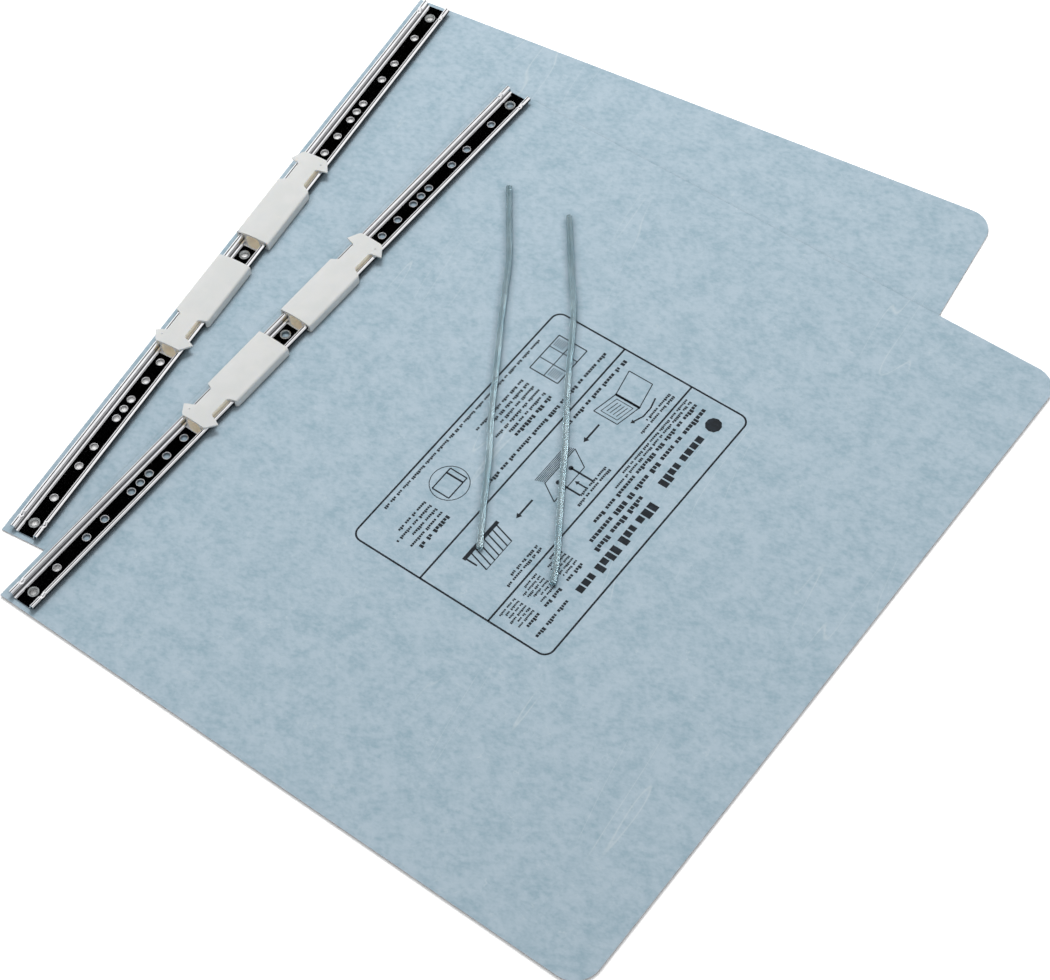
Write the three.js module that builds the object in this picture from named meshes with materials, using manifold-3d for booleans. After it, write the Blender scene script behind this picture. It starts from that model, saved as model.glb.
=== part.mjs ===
// Hanging data binder for wide unburst sheets.
// Two loose pressboard covers lie one on the other. Each carries a pressed steel channel rail,
// held by eyelets along its binding edge, with two nylon storage hooks that slide along the rail.
// Two loose nylon binding posts lie on the front cover.
// Millimetres, +Z up. The origin is the centre of the back cover's underside, +Y runs along its rail.

import * as THREE from 'three';
import * as BufferGeometryUtils from 'three/addons/utils/BufferGeometryUtils.js';
import Module from 'manifold-3d';

const wasm = await Module();
wasm.setup();

const INCH = 25.4;

// Covers
const coverLength = 386;
const coverWidth = 338;
const coverThickness = 0.7;
const coverCornerRadius = 13;
const bindingMargin = 12;
const coverHoleDiameter = 4.6;

// How the front cover lies on the back cover
const frontShiftX = 46.4;
const frontShiftY = -33.5;
const frontTurnDegrees = -7.46;

// Hole pattern, each distance measured from the middle of the rail
const postHoleDistances = [3, 3.5, 4, 4.25, 4.5, 5.25, 5.75, 6.5625].map((inches) => inches * INCH);
const railHoleDiameter = 4.3;

// Channel rail
const railEndMargin = 2.5;
const railSheet = 0.6;
const channelWidth = 10.7;
const railHeight = 4.2;
const rimRadius = 1.3;
const rimSkirtGap = 2.2;
const floorFilletRadius = 1;
const endEyeletInset = 7.62;
const stakeLength = 2.6;
const stakeDepth = 0.9;
const stakeFoot = 0.1;

// Storage hooks
const slideClearance = 0.3;
const hookLength = 60.2;
const hookInnerEnd = 8.3;
const gripLength = 41;
const gripSkirtWall = 1.35;
const gripCornerRadius = 1.8;
const shoulderRadius = 1.4;
const shoulderSweepDegrees = 75;
const crownTop = 6.3;
const crownRadius = 45;
const hookWall = 1.1;
const hookRoofWall = 1.2;
const tunnelCornerRadius = 2.2;
const footLength = 30;
const footReach = 1;
const footThickness = 1.4;
const earTipHalfWidth = 11.1;
const earTipPosition = 54.3;
const earRootPosition = 52.7;
const earEndHalfWidth = 7.8;
const earThickness = 1.05;
const headEndChamfer = 1;

// Eyelets that hold each rail to its cover
const eyeletBore = 3.8;
const eyeletWall = 0.3;
const eyeletFlangeDiameter = 5.6;
const eyeletFlangeHeight = 0.45;
const eyeletHoleClearance = 0.3;
const eyeletFlareHeight = 0.35;
const eyeletFlareReach = 0.4;

// Binding posts, routes measured across and along the front cover from the middle of its rail
const postDiameter = 3.1;
const postRestGap = 0.05;
const firstPostRoute = [
  [34.1, 137.8], [48.6, 118.9], [63, 100.1], [73.4, 83.2], [84.2, 65.9], [99, 43], [115.8, 16.7],
  [127.3, 0.8], [144.8, -26.7], [156.3, -44.2],
];
const secondPostRoute = [
  [71.1, 139.6], [84.2, 123.2], [97.4, 106.7], [110.6, 90.4], [126, 66.5], [136.5, 50.5],
  [153.8, 25.7], [171.1, -0.9], [188.2, -26.5], [196, -40.2],
];

// Sizes that follow from the ones above
const railLength = coverLength - 2 * railEndMargin;
const endEyeletDistance = railLength / 2 - endEyeletInset;
const eyeletShank = eyeletBore / 2 + eyeletWall;
const eyeletSeat = coverThickness + railSheet;
const eyeletPlaces = [-endEyeletDistance, 0, endEyeletDistance];
const channelHalf = channelWidth / 2;
const railHalf = channelHalf + 2 * rimRadius;
const rimCentreZ = railHeight - rimRadius;
const stakeHalf = stakeLength / 2;
const bodyHalf = channelHalf - slideClearance;
const tunnelHalf = bodyHalf - hookWall;
const tunnelTop = crownTop - hookRoofWall;
const skirtInner = railHalf + slideClearance;
const gripHalf = skirtInner + gripSkirtWall;
const slotTop = railHeight + slideClearance;
const footTop = Math.min(footThickness + slideClearance, rimSkirtGap - slideClearance);
const margin = 1;

// Curve fineness
const arcSteps = 6;
const holeSegments = 20;
const eyeletSegments = 28;
const postSides = 10;
const postStepsPerPoint = 4;

const pressboardMaterial = { color: 0xacc0cd, roughness: 0.75, metalness: 0 };
const steelMaterial = { color: 0xc9c9cc, roughness: 0.2, metalness: 1 };
const nylonMaterial = { color: 0xdee0de, roughness: 0.45, metalness: 0 };
const postMaterial = { color: 0xa9b4bb, roughness: 0.25, metalness: 0 };

function toSolid(geometry) {
  const bare = geometry.clone();
  bare.deleteAttribute('normal');
  bare.deleteAttribute('uv');
  const merged = BufferGeometryUtils.mergeVertices(bare);
  const vertProperties = Float32Array.from(merged.attributes.position.array);
  const triVerts = Uint32Array.from(merged.index.array);
  return new wasm.Manifold(new wasm.Mesh({ numProp: 3, vertProperties, triVerts }));
}

function toMesh(name, solid, look) {
  const result = solid.getMesh();
  const geometry = new THREE.BufferGeometry();
  geometry.setAttribute('position', new THREE.BufferAttribute(Float32Array.from(result.vertProperties), 3));
  geometry.setIndex(new THREE.BufferAttribute(Uint32Array.from(result.triVerts), 1));
  geometry.computeVertexNormals();
  const mesh = new THREE.Mesh(geometry, new THREE.MeshStandardMaterial(look));
  mesh.name = name;
  return mesh;
}

function joinAll(solids) {
  return solids.reduce((whole, piece) => whole.add(piece));
}

// A section drawn in X and Z, drawn out along Y from one place to another
function alongY(shape, fromY, toY) {
  const geometry = new THREE.ExtrudeGeometry(shape, {
    depth: toY - fromY,
    bevelEnabled: false,
    curveSegments: arcSteps,
  });
  geometry.rotateX(Math.PI / 2);
  geometry.translate(0, toY, 0);
  return toSolid(geometry);
}

// An outline drawn in X and Y, drawn up along Z from one height to another
function alongZ(shape, fromZ, toZ) {
  const geometry = new THREE.ExtrudeGeometry(shape, {
    depth: toZ - fromZ,
    bevelEnabled: false,
    curveSegments: arcSteps,
  });
  geometry.translate(0, 0, fromZ);
  return toSolid(geometry);
}

function upright(radius, fromZ, toZ, segments = holeSegments) {
  const geometry = new THREE.CylinderGeometry(radius, radius, toZ - fromZ, segments);
  geometry.rotateX(Math.PI / 2);
  geometry.translate(0, 0, (fromZ + toZ) / 2);
  return toSolid(geometry);
}

function block(fromX, toX, fromY, toY, fromZ, toZ) {
  const geometry = new THREE.BoxGeometry(toX - fromX, toY - fromY, toZ - fromZ);
  geometry.translate((fromX + toX) / 2, (fromY + toY) / 2, (fromZ + toZ) / 2);
  return toSolid(geometry);
}

function arcPoints(centreX, centreY, radius, fromDegrees, toDegrees, steps = arcSteps) {
  const points = [];
  for (let i = 0; i <= steps; i += 1) {
    const angle = THREE.MathUtils.degToRad(fromDegrees + ((toDegrees - fromDegrees) * i) / steps);
    points.push([centreX + radius * Math.cos(angle), centreY + radius * Math.sin(angle)]);
  }
  return points;
}

// A closed outline from its right half, listed from one place on the axis to another
function mirroredShape(rightHalf) {
  const leftHalf = rightHalf.filter(([x]) => x > 0).map(([x, y]) => [-x, y]).reverse();
  return new THREE.Shape([...rightHalf, ...leftHalf].map(([x, y]) => new THREE.Vector2(x, y)));
}

function bothSides(distances) {
  return distances.flatMap((distance) => [distance, -distance]);
}

// Cover: a flat board with its two outer corners rounded, pierced for posts and eyelets
function makeCover(name) {
  const left = -bindingMargin;
  const right = coverWidth - bindingMargin;
  const half = coverLength / 2;
  const radius = coverCornerRadius;
  const outline = [
    [left, -half],
    ...arcPoints(right - radius, -half + radius, radius, -90, 0, 2 * arcSteps),
    ...arcPoints(right - radius, half - radius, radius, 0, 90, 2 * arcSteps),
    [left, half],
  ];
  const shape = new THREE.Shape(outline.map(([x, y]) => new THREE.Vector2(x, y)));
  const board = alongZ(shape, 0, coverThickness);
  const postHole = upright(coverHoleDiameter / 2, -margin, coverThickness + margin);
  const eyeletRoom = makeEyeletRoom();
  const holes = [
    ...bothSides(postHoleDistances).map((y) => postHole.translate([0, y, 0])),
    ...eyeletPlaces.map((y) => eyeletRoom.translate([0, y, 0])),
  ];
  return toMesh(name, board.subtract(joinAll(holes)), pressboardMaterial);
}

// Rail section: floor, filleted walls, and rims rolled outwards and down over the skirts
function railShape() {
  const fillet = floorFilletRadius;
  const rimCentreX = channelHalf + rimRadius;
  const filletX = channelHalf - fillet;
  const filletZ = railSheet + fillet;
  return mirroredShape([
    [0, 0],
    ...arcPoints(filletX, filletZ, fillet + railSheet, -90, 0),
    ...arcPoints(rimCentreX, rimCentreZ, rimRadius - railSheet, 180, 0),
    [railHalf - railSheet, rimSkirtGap],
    [railHalf, rimSkirtGap],
    ...arcPoints(rimCentreX, rimCentreZ, rimRadius, 0, 180, 2 * arcSteps),
    ...arcPoints(filletX, filletZ, fillet, 0, -90),
    [0, railSheet],
  ]);
}

// A stake struck into both rims: a notch on top, with the metal pushed down as a stop for the hooks
function stakeParts() {
  const stop = block(
    channelHalf + railSheet / 2, railHalf - railSheet / 2,
    -stakeHalf, stakeHalf,
    stakeFoot, railHeight - railSheet / 2,
  );
  const notchShape = new THREE.Shape([
    new THREE.Vector2(-stakeHalf, railHeight),
    new THREE.Vector2(0, railHeight - stakeDepth),
    new THREE.Vector2(stakeHalf, railHeight),
    new THREE.Vector2(stakeHalf, railHeight + margin),
    new THREE.Vector2(-stakeHalf, railHeight + margin),
  ]);
  const notchGeometry = new THREE.ExtrudeGeometry(notchShape, { depth: 2 * railHalf, bevelEnabled: false });
  notchGeometry.rotateX(Math.PI / 2);
  notchGeometry.rotateZ(Math.PI / 2);
  notchGeometry.translate(-railHalf, 0, 0);
  return { stops: stop.add(stop.mirror([1, 0, 0])), notch: toSolid(notchGeometry) };
}

function makeRail(name) {
  let rail = alongY(railShape(), -railLength / 2, railLength / 2);
  const { stops, notch } = stakeParts();
  const stakes = bothSides([endEyeletDistance]);
  rail = rail.add(joinAll(stakes.map((y) => stops.translate([0, y, 0]))));
  rail = rail.subtract(joinAll(stakes.map((y) => notch.translate([0, y, 0]))));
  const postHole = upright(railHoleDiameter / 2, -margin, railSheet + margin);
  const eyeletRoom = makeEyeletRoom().translate([0, 0, -coverThickness]);
  const holes = [
    ...bothSides(postHoleDistances).map((y) => postHole.translate([0, y, 0])),
    ...eyeletPlaces.map((y) => eyeletRoom.translate([0, y, 0])),
  ];
  return toMesh(name, rail.subtract(joinAll(holes)), steelMaterial);
}

// Eyelet: a rolled flange on the rail's floor, an open tube, and an end flared flush with the board's underside
function makeEyeletSolid() {
  const bore = eyeletBore / 2;
  const flange = eyeletFlangeDiameter / 2;
  const rollRadius = (flange - bore) / 2;
  const roll = arcPoints(bore + rollRadius, 0, rollRadius, 0, 180)
    .map(([x, z]) => [x, eyeletSeat + (z * eyeletFlangeHeight) / rollRadius]);
  const profile = [
    [bore + eyeletFlareReach, 0],
    [eyeletShank + eyeletFlareReach, 0],
    [eyeletShank, eyeletFlareHeight],
    [eyeletShank, eyeletSeat],
    ...roll,
    [bore, eyeletFlareHeight],
    [bore + eyeletFlareReach, 0],
  ];
  const geometry = new THREE.LatheGeometry(profile.map(([x, z]) => new THREE.Vector2(x, z)), eyeletSegments);
  geometry.rotateX(Math.PI / 2);
  return toSolid(geometry);
}

// The room that an eyelet's tube and flared end take up in the board and the rail
function makeEyeletRoom() {
  const shank = eyeletShank + eyeletHoleClearance;
  const flare = shank + eyeletFlareReach;
  const profile = [
    [0, -margin],
    [flare, -margin],
    [flare, 0],
    [shank, eyeletFlareHeight],
    [shank, eyeletSeat + margin],
    [0, eyeletSeat + margin],
  ];
  const geometry = new THREE.LatheGeometry(profile.map(([x, z]) => new THREE.Vector2(x, z)), eyeletSegments);
  geometry.rotateX(Math.PI / 2);
  return toSolid(geometry);
}

function crownHeight(x) {
  return crownTop - (crownRadius - Math.sqrt(crownRadius * crownRadius - x * x));
}

// Points along the crown from one distance off the middle to another
function crownPoints(fromX, toX, drop = 0) {
  const points = [];
  for (let i = 0; i <= arcSteps; i += 1) {
    const x = fromX + ((toX - fromX) * i) / arcSteps;
    points.push([x, crownHeight(x) - drop]);
  }
  return points;
}

// The inner legs and the arched hollow under every part of a hook
function tunnelPoints() {
  const legBottom = railSheet + slideClearance;
  return [
    [bodyHalf, legBottom],
    [tunnelHalf, legBottom],
    ...arcPoints(tunnelHalf - tunnelCornerRadius, tunnelTop - tunnelCornerRadius, tunnelCornerRadius, 0, 90),
    [0, tunnelTop],
  ];
}

function gripShape() {
  const shoulderX = gripHalf - shoulderRadius;
  const shoulderZ = crownHeight(shoulderX) - shoulderRadius;
  return mirroredShape([
    ...crownPoints(0, shoulderX),
    ...arcPoints(shoulderX, shoulderZ, shoulderRadius, shoulderSweepDegrees, 0),
    [gripHalf, slideClearance],
    [railHalf - footReach, slideClearance],
    [railHalf - footReach, footTop],
    [skirtInner, footTop],
    [skirtInner, slotTop],
    [bodyHalf, slotTop],
    ...tunnelPoints(),
  ]);
}

function neckShape() {
  return mirroredShape([...crownPoints(0, bodyHalf), ...tunnelPoints()]);
}

function headShape() {
  return mirroredShape([
    ...crownPoints(0, earTipHalfWidth),
    ...crownPoints(earTipHalfWidth, 0, earThickness),
  ]);
}

// Outline of the grip seen from above: square inside, corners rounded towards the neck
function gripOutline() {
  const radius = gripCornerRadius;
  return mirroredShape([
    [0, 0],
    [gripHalf, 0],
    ...arcPoints(gripHalf - radius, gripLength - 2 * radius, radius, 0, 60),
    [bodyHalf + radius / 2, gripLength - radius / 2],
    [bodyHalf, gripLength],
    [0, gripLength],
  ]);
}

// Outline of the head seen from above: a barb on each side, pointing back towards the grip
function headOutline() {
  const middle = (bodyHalf + earTipHalfWidth) / 2;
  return mirroredShape([
    [0, earRootPosition - margin],
    [bodyHalf, earRootPosition - margin],
    [bodyHalf + headEndChamfer, earRootPosition],
    [middle, earRootPosition + headEndChamfer / 2],
    [earTipHalfWidth, earTipPosition],
    [earEndHalfWidth, hookLength - headEndChamfer],
    [earEndHalfWidth - headEndChamfer, hookLength],
    [0, hookLength],
  ]);
}

function makeHook(name) {
  const tall = crownTop + margin;
  const grip = alongY(gripShape(), 0, gripLength).intersect(alongZ(gripOutline(), 0, tall));
  const neck = alongY(neckShape(), 0, hookLength);
  const head = alongY(headShape(), 0, hookLength + margin).intersect(alongZ(headOutline(), 0, tall));
  const tunnelShape = mirroredShape([[0, 0], [tunnelHalf, 0], ...tunnelPoints().slice(2)]);
  const tunnel = alongY(tunnelShape, -margin, hookLength + 2 * margin);
  const footCut = block(bodyHalf, skirtInner, footLength, gripLength + margin, 0, slotTop);
  const cuts = footCut.add(footCut.mirror([1, 0, 0])).add(tunnel);
  return toMesh(name, grip.add(neck).add(head).subtract(cuts), nylonMaterial);
}

// Post: one loose flexible rod, lying flat in the bends that it has taken
function makePost(name, route) {
  const height = coverThickness + postDiameter / 2 + postRestGap;
  const points = route.map(([x, y]) => new THREE.Vector3(x, y, height));
  const path = new THREE.CatmullRomCurve3(points, false, 'centripetal');
  const section = new THREE.Shape(
    arcPoints(0, 0, postDiameter / 2, 0, 360 - 360 / postSides, postSides - 1)
      .map(([x, y]) => new THREE.Vector2(x, y)),
  );
  const geometry = new THREE.ExtrudeGeometry(section, {
    steps: postStepsPerPoint * (route.length - 1),
    bevelEnabled: false,
    extrudePath: path,
  });
  return toMesh(name, toSolid(geometry), postMaterial);
}

// One cover with its rail, eyelets and hooks, its origin under the middle of the rail
function makeCoverSet(side) {
  const set = new THREE.Group();
  set.add(makeCover(`${side}_cover`));
  const rail = makeRail(`${side}_rail`);
  rail.position.z = coverThickness;
  set.add(rail);
  ['near', 'middle', 'far'].forEach((place, i) => {
    const eyelet = toMesh(`${side}_eyelet_${place}`, makeEyeletSolid(), steelMaterial);
    eyelet.position.y = eyeletPlaces[i];
    set.add(eyelet);
  });
  const farHook = makeHook(`${side}_hook_far`);
  farHook.position.set(0, hookInnerEnd, coverThickness);
  const nearHook = makeHook(`${side}_hook_near`);
  nearHook.position.set(0, -hookInnerEnd, coverThickness);
  nearHook.rotation.z = Math.PI;
  set.add(farHook, nearHook);
  return set;
}

const binder = new THREE.Group();
binder.name = 'data_binder';

const backSet = makeCoverSet('back');
backSet.position.x = bindingMargin - coverWidth / 2;

const frontSet = makeCoverSet('front');
frontSet.position.set(backSet.position.x + frontShiftX, frontShiftY, coverThickness);
frontSet.rotation.z = THREE.MathUtils.degToRad(frontTurnDegrees);
frontSet.add(makePost('first_post', firstPostRoute));
frontSet.add(makePost('second_post', secondPostRoute));

binder.add(backSet, frontSet);
binder.updateMatrixWorld(true);

export default binder;
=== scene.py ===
import math
import random

import bmesh
import bpy
from mathutils import Matrix, Vector


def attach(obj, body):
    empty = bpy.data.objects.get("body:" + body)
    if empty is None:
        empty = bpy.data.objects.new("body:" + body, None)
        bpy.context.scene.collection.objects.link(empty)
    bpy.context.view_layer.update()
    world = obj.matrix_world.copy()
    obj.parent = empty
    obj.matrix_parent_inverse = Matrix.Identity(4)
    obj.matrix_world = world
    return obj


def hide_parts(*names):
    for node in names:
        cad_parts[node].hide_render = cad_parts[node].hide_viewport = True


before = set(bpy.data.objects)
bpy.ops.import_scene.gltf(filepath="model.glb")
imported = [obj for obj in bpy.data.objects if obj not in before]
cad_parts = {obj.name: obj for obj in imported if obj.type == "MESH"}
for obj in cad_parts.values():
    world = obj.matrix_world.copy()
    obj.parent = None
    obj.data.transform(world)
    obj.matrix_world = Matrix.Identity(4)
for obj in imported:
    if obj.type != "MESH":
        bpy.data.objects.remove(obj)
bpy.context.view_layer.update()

MM = 0.001
INCH = 25.4

# Sizes of the binder in millimetres, as in the part
COVER_WIDTH = 338
COVER_THICKNESS = 0.7
BINDING_MARGIN = 12
FRONT_SHIFT = (46.4, -33.5)
FRONT_TURN = math.radians(-7.46)
POST_HOLES = [inches * INCH for inches in (3, 3.5, 4, 4.25, 4.5, 5.25, 5.75, 6.5625)]
RAIL_LENGTH = 381
RAIL_SHEET = 0.6
CHANNEL_HALF = 5.35
RAIL_HEIGHT = 4.2
RIM_RADIUS = 1.3
RIM_SKIRT_GAP = 2.2
FLOOR_FILLET = 1
RAIL_HOLE_RADIUS = 2.15
END_EYELET = 182.88
EYELET_HOLE_RADIUS = 2.5
EYELET_BORE_RADIUS = 1.9
EYELET_FLANGE_RADIUS = 2.8
STAKE_HALF = 1.5
STAKE_DEPTH = 0.95
HOOK_INNER_END = 8.3
HOOK_BODY_HALF = 5.05
HOOK_HOLLOW_TOP = 5.1
PIN_MARK = (6.0, 56.0)
PIN_MARK_RADIUS = 0.5
PIN_MARK_HEIGHT = 6.05
PIN_MARK_CUTTER_DEPTH = 1
PIN_MARK_SEGMENTS = 20
POST_RADIUS = 1.55
POST_REST_GAP = 0.05

FIRST_POST = [
    (34.1, 137.8), (48.6, 118.9), (63, 100.1), (73.4, 83.2), (84.2, 65.9), (99, 43), (115.8, 16.7),
    (127.3, 0.8), (144.8, -26.7), (156.3, -44.2),
]
SECOND_POST = [
    (71.1, 139.6), (84.2, 123.2), (97.4, 106.7), (110.6, 90.4), (126, 66.5), (136.5, 50.5),
    (153.8, 25.7), (171.1, -0.9), (188.2, -26.5), (196, -40.2),
]

# Where each cover's own frame lies: its origin is under the middle of its rail
RAIL_LINE = BINDING_MARGIN - COVER_WIDTH / 2
FRONT_ORIGIN = Vector((RAIL_LINE + FRONT_SHIFT[0], FRONT_SHIFT[1], COVER_THICKNESS))
PLACES = {
    "back": Matrix.Translation(Vector((RAIL_LINE, 0, 0)) * MM),
    "front": Matrix.Translation(FRONT_ORIGIN * MM) @ Matrix.Rotation(FRONT_TURN, 4, "Z"),
}


# Camera, at the photograph's viewing angle

CAMERA_POSITION = Vector((440.1, -633.6, 1038.5)) * MM
CAMERA_FORWARD = Vector((-0.31925, 0.45953, -0.82880))
CAMERA_UP = Vector((-0.38503, 0.73624, 0.55652))
FOCAL_PIXELS = 2649.6
IMAGE_WIDTH = 1050
SENSOR_WIDTH = 36


def make_camera():
    data = bpy.data.cameras.new("camera")
    data.sensor_fit = "HORIZONTAL"
    data.sensor_width = SENSOR_WIDTH
    data.lens = FOCAL_PIXELS * SENSOR_WIDTH / IMAGE_WIDTH
    data.clip_start = 0.05
    data.clip_end = 50
    camera = bpy.data.objects.new("camera", data)
    bpy.context.scene.collection.objects.link(camera)
    forward = CAMERA_FORWARD.normalized()
    right = forward.cross(CAMERA_UP).normalized()
    up = right.cross(forward)
    turn = Matrix((right, up, -forward)).transposed().to_4x4()
    camera.matrix_world = Matrix.Translation(CAMERA_POSITION) @ turn
    bpy.context.scene.camera = camera


# Small helpers for shader nodes

class Shader:
    """A material's node tree, with short ways to add nodes and to join them."""

    def __init__(self, tree):
        self.tree = tree
        self.nodes = tree.nodes

    def add(self, kind, inputs=None, **settings):
        node = self.nodes.new(kind)
        for key, value in settings.items():
            setattr(node, key, value)
        for key, value in (inputs or {}).items():
            self.feed(node.inputs[key], value)
        return node

    def feed(self, socket, value):
        if isinstance(value, bpy.types.NodeSocket):
            self.tree.links.new(value, socket)
        else:
            socket.default_value = value

    def math(self, operation, first, second=0.0):
        return self.add("ShaderNodeMath", {0: first, 1: second}, operation=operation).outputs[0]

    def remap(self, value, low, high, new_low=0.0, new_high=1.0, smooth=True):
        kind = "SMOOTHSTEP" if smooth else "LINEAR"
        inputs = {"Value": value, "From Min": low, "From Max": high, "To Min": new_low, "To Max": new_high}
        return self.add("ShaderNodeMapRange", inputs, interpolation_type=kind).outputs["Result"]

    def mix(self, amount, first, second):
        node = self.add("ShaderNodeMix", data_type="RGBA")
        self.feed(node.inputs[0], amount)
        self.feed(node.inputs[6], first)
        self.feed(node.inputs[7], second)
        return node.outputs[2]

    def noise(self, vector, scale, detail, roughness=0.5):
        inputs = {"Vector": vector, "Scale": scale, "Detail": detail, "Roughness": roughness}
        return self.add("ShaderNodeTexNoise", inputs).outputs["Fac"]

    def place(self, vector, turn, scale):
        """The coordinates turned about Z and scaled."""
        inputs = {"Vector": vector, "Rotation": (0.0, 0.0, turn), "Scale": scale}
        return self.add("ShaderNodeMapping", inputs).outputs[0]

    def line_at(self, value, level, width):
        """A thin line where the value crosses a level."""
        off = self.math("ABSOLUTE", self.math("SUBTRACT", value, level))
        return self.remap(off, 0.0, width, 1.0, 0.0)

    def open_air(self):
        """How open the surface lies, from 0 in deep corners to 1 on the open face."""
        return self.add("ShaderNodeAmbientOcclusion", {"Distance": CORNER_REACH}, samples=1).outputs["AO"]

    def group(self, tree, inputs):
        node = self.add("ShaderNodeGroup", node_tree=tree)
        for key, value in inputs.items():
            self.feed(node.inputs[key], value)
        return node.outputs


def new_group(name, inputs, outputs):
    tree = bpy.data.node_groups.new(name, "ShaderNodeTree")
    for label, kind, default in inputs:
        socket = tree.interface.new_socket(label, in_out="INPUT", socket_type=kind)
        if default is not None:
            socket.default_value = default
    for label, kind in outputs:
        tree.interface.new_socket(label, in_out="OUTPUT", socket_type=kind)
    shader = Shader(tree)
    return shader, shader.add("NodeGroupInput").outputs, shader.add("NodeGroupOutput").inputs


def new_material(name):
    material = bpy.data.materials.new(name)
    material.use_nodes = True
    shader = Shader(material.node_tree)
    principled = material.node_tree.nodes["Principled BSDF"]
    coordinates = shader.add("ShaderNodeTexCoord").outputs["Object"]
    return material, shader, principled, coordinates


def rgba(red, green, blue):
    """A colour given in the 0 to 255 values of a screen, as linear light."""
    def linear(value):
        value /= 255
        return value / 12.92 if value <= 0.04045 else ((value + 0.055) / 1.055) ** 2.4
    return (linear(red), linear(green), linear(blue), 1.0)


def bump(shader, principled, height, distance, strength):
    node = shader.add("ShaderNodeBump", {"Strength": strength, "Distance": distance, "Height": height})
    shader.tree.links.new(node.outputs["Normal"], principled.inputs["Normal"])


# Effects that several materials share

COMB_TURN = math.radians(-30)
SCUFF_TURN = math.radians(8)
FIBRE_WIDTH = 0.009
SCUFF_WIDTH = 0.006
CORNER_REACH = 0.004


def make_fibre_group():
    """Pressed fibre board: combed specks, soft blotches, curly surface fibres and long scuffs."""
    shader, source, target = new_group(
        "pressed_fibre",
        [("Vector", "NodeSocketVector", None), ("Speck Scale", "NodeSocketFloat", 420.0),
         ("Blotch Scale", "NodeSocketFloat", 75.0), ("Fibre Scale", "NodeSocketFloat", 170.0)],
        [("Specks", "NodeSocketFloat"), ("Blotches", "NodeSocketFloat"), ("Fibres", "NodeSocketFloat"),
         ("Scuffs", "NodeSocketFloat")],
    )
    vector = source["Vector"]
    combed = shader.place(vector, COMB_TURN, (0.7, 1.0, 1.0))
    blotches = shader.noise(vector, source["Blotch Scale"], 2.0, 0.6)
    shader.feed(target["Specks"], shader.noise(combed, source["Speck Scale"], 3.0, 0.62))
    shader.feed(target["Blotches"], blotches)

    contour = shader.noise(vector, source["Fibre Scale"], 1.5, 0.65)
    thread = shader.line_at(contour, 0.5, FIBRE_WIDTH)
    shader.feed(target["Fibres"], shader.math("MULTIPLY", thread, shader.remap(blotches, 0.46, 0.6)))

    drawn = shader.place(vector, SCUFF_TURN, (1.0, 0.12, 1.0))
    stroke = shader.line_at(shader.noise(drawn, 55.0, 1.0, 0.5), 0.56, SCUFF_WIDTH)
    patches = shader.remap(shader.noise(vector, 14.0, 0.0), 0.56, 0.66)
    shader.feed(target["Scuffs"], shader.math("MULTIPLY", stroke, patches))
    return shader.tree


def make_grain_group():
    """Moulded plastic: slow unevenness, fine grain and faint flow along the piece."""
    shader, source, target = new_group(
        "moulding_grain",
        [("Vector", "NodeSocketVector", None), ("Scale", "NodeSocketFloat", 900.0)],
        [("Cloud", "NodeSocketFloat"), ("Grain", "NodeSocketFloat")],
    )
    cloud = shader.noise(source["Vector"], shader.math("MULTIPLY", source["Scale"], 0.12), 3.0, 0.55)
    shader.feed(target["Cloud"], cloud)
    shader.feed(target["Grain"], shader.noise(source["Vector"], source["Scale"], 3.0, 0.6))
    return shader.tree


def make_rub_group():
    """Plated metal: long draw lines along Y, smudges and a few rubbed patches."""
    shader, source, target = new_group(
        "rubbed_metal",
        [("Vector", "NodeSocketVector", None), ("Line Scale", "NodeSocketFloat", 1500.0)],
        [("Lines", "NodeSocketFloat"), ("Smudge", "NodeSocketFloat")],
    )
    stretched = shader.place(source["Vector"], 0.0, (1.0, 0.02, 1.0))
    shader.feed(target["Lines"], shader.noise(stretched, source["Line Scale"], 1.0, 0.6))
    shader.feed(target["Smudge"], shader.noise(source["Vector"], 160.0, 2.0, 0.6))
    return shader.tree


FIBRE = make_fibre_group()
GRAIN = make_grain_group()
RUB = make_rub_group()


# Materials

BOARD_DARK = rgba(149, 174, 187)
BOARD_PALE = rgba(176, 194, 206)
BOARD_FIBRE = rgba(200, 211, 216)
BOARD_SCUFF = rgba(205, 214, 218)
BOARD_EDGE = rgba(196, 195, 200)
BOARD_PAINTED_SHADE = rgba(58, 68, 74)
STEEL_BRIGHT = rgba(251, 251, 253)
STEEL_SATIN = rgba(186, 190, 190)
STEEL_PAINTED_SHADE = rgba(30, 31, 34)
NYLON_COOL = rgba(214, 216, 215)
NYLON_PALE = rgba(218, 219, 218)
NYLON_PAINTED_LIGHT = rgba(250, 241, 222)
NYLON_PAINTED_GLOW = rgba(250, 242, 226)
POST_DARK = rgba(172, 203, 213)
POST_PALE = rgba(200, 222, 229)
INK_FRESH = rgba(12, 20, 27)
INK_WORN = rgba(52, 66, 78)
FLOOR_WHITE = (0.9, 0.9, 0.9, 1)
FLOOR_PAINTED_SHADE = (0.12, 0.125, 0.125, 1)
RAIL_ROUGHNESS = 0.04
EYELET_ROUGHNESS = 0.18


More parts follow.
